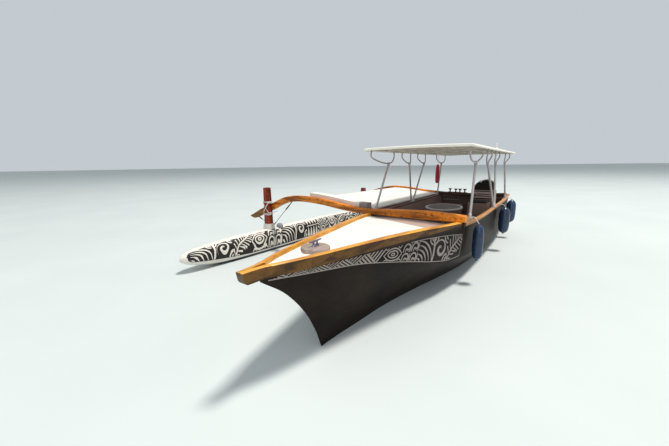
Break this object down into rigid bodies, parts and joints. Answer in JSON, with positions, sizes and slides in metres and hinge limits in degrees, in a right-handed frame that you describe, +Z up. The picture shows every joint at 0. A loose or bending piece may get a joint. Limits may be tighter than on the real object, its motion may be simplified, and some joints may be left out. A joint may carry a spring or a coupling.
{
  "type": "motor outrigger canoe with awning",
  "caption": "Wide motor-driven outrigger canoe with a single float on arched timber beams, a painted bow band, a cockpit under a flat awning and a tilting outboard motor.",
  "frame": {"origin": "on the waterline, on the hull's centre line, amidships", "axes": "+X to the bow, +Y to port, +Z up; the float is on the starboard (-Y) side"},
  "size_m": [9.9022, 5.8167, 3.1087],
  "materials": {
    "hull_paint": "black-brown gloss paint with a light grey painted band",
    "sole_boards": "dark sealed boards",
    "white_deck": "white non-slip deck paint",
    "golden_wood": "varnished golden hardwood",
    "brown_wood": "varnished brown hardwood",
    "red_wood": "varnished red-brown hardwood",
    "float_paint": "white gloss paint with a black painted pattern",
    "steel_tube": "satin stainless tube",
    "awning_canvas": "off-white awning canvas",
    "table_surface": "grey stained top with a light rim",
    "interior_paint": "dark grey-brown matt paint",
    "cushion_vinyl": "black marine vinyl",
    "black_plastic": "black satin plastic",
    "fender_vinyl": "dark navy inflated vinyl",
    "red_fabric": "crimson nylon",
    "motor_paint": "black gloss motor paint",
    "propeller_metal": "polished stainless steel"
  },
  "bodies": {
    "boat": {"hull": "hull_paint", "keel": "hull_paint", "sole": "sole_boards", "foredeck": "white_deck", "beak": "golden_wood", "gunwale_port": "golden_wood", "gunwale_starboard": "golden_wood", "front_beam": "brown_wood", "rear_beam": "brown_wood", "bow_rail_port": "golden_wood", "bow_rail_starboard": "golden_wood", "ama": "float_paint", "ama_pedestal_front": "float_paint", "ama_post_front": "red_wood", "ama_pedestal_rear": "float_paint", "ama_post_rear": "red_wood", "stay_front_inner": "steel_tube", "stay_front_outer": "steel_tube", "stay_rear_inner": "steel_tube", "stay_rear_outer": "steel_tube", "platform": "white_deck", "platform_board": "white_deck", "awning_leg_port_front": "steel_tube", "awning_leg_port_middle": "steel_tube", "awning_leg_port_rear": "steel_tube", "awning_leg_starboard_front": "steel_tube", "awning_leg_starboard_middle": "steel_tube", "awning_leg_starboard_rear": "steel_tube", "awning_frame": "steel_tube", "awning_cloth": "awning_canvas", "bench_port": "interior_paint", "cushion_port": "cushion_vinyl", "bench_starboard": "interior_paint", "cushion_starboard": "cushion_vinyl", "aft_bulkhead": "interior_paint", "table_top": "table_surface", "table_leg": "steel_tube", "rear_bench": "interior_paint", "rear_cushion": "cushion_vinyl", "rear_back": "interior_paint", "helm_console": "interior_paint", "helm_hood": "black_plastic", "console_seat": "interior_paint", "console_cushion": "cushion_vinyl", "helm_seat": "interior_paint", "helm_cushion": "cushion_vinyl", "fender_1": "fender_vinyl", "fender_2": "fender_vinyl", "fender_3": "fender_vinyl", "rod_holders": "black_plastic", "corner_block": "interior_paint", "red_bag": "red_fabric", "roof_light": "float_paint", "cleat_pad": "white_deck", "cleat": "steel_tube", "motor_bracket": "motor_paint"},
    "tilt": {"tilt_bracket": "motor_paint"},
    "head": {"motor": "motor_paint"},
    "propeller": {"propeller": "propeller_metal"},
    "wheel": {"helm_wheel": "black_plastic"}
  },
  "joints": [
    {"name": "motor_tilt", "type": "hinge", "parent": "boat", "child": "tilt", "pos_m": [-4.76, 0, 0.43], "axis": [0, 1, 0], "range_deg": [0, 60]},
    {"name": "motor_steer", "type": "hinge", "parent": "tilt", "child": "head", "pos_m": [-4.88, 0, 0.43], "axis": [0, 0, 1], "range_deg": [-30, 30]},
    {"name": "propeller_spin", "type": "hinge", "parent": "head", "child": "propeller", "pos_m": [-5.17, 0, -0.42], "axis": [1, 0, 0], "continuous": true},
    {"name": "helm_turn", "type": "hinge", "parent": "boat", "child": "wheel", "pos_m": [-2.93875, 0.5, 1.27492], "axis": [0.9345, 0, -0.356], "range_deg": [-540, 540]}
  ],
  "couplings": [
    {"joint": "helm_turn", "follows": "motor_steer", "ratio": 18}
  ]
}
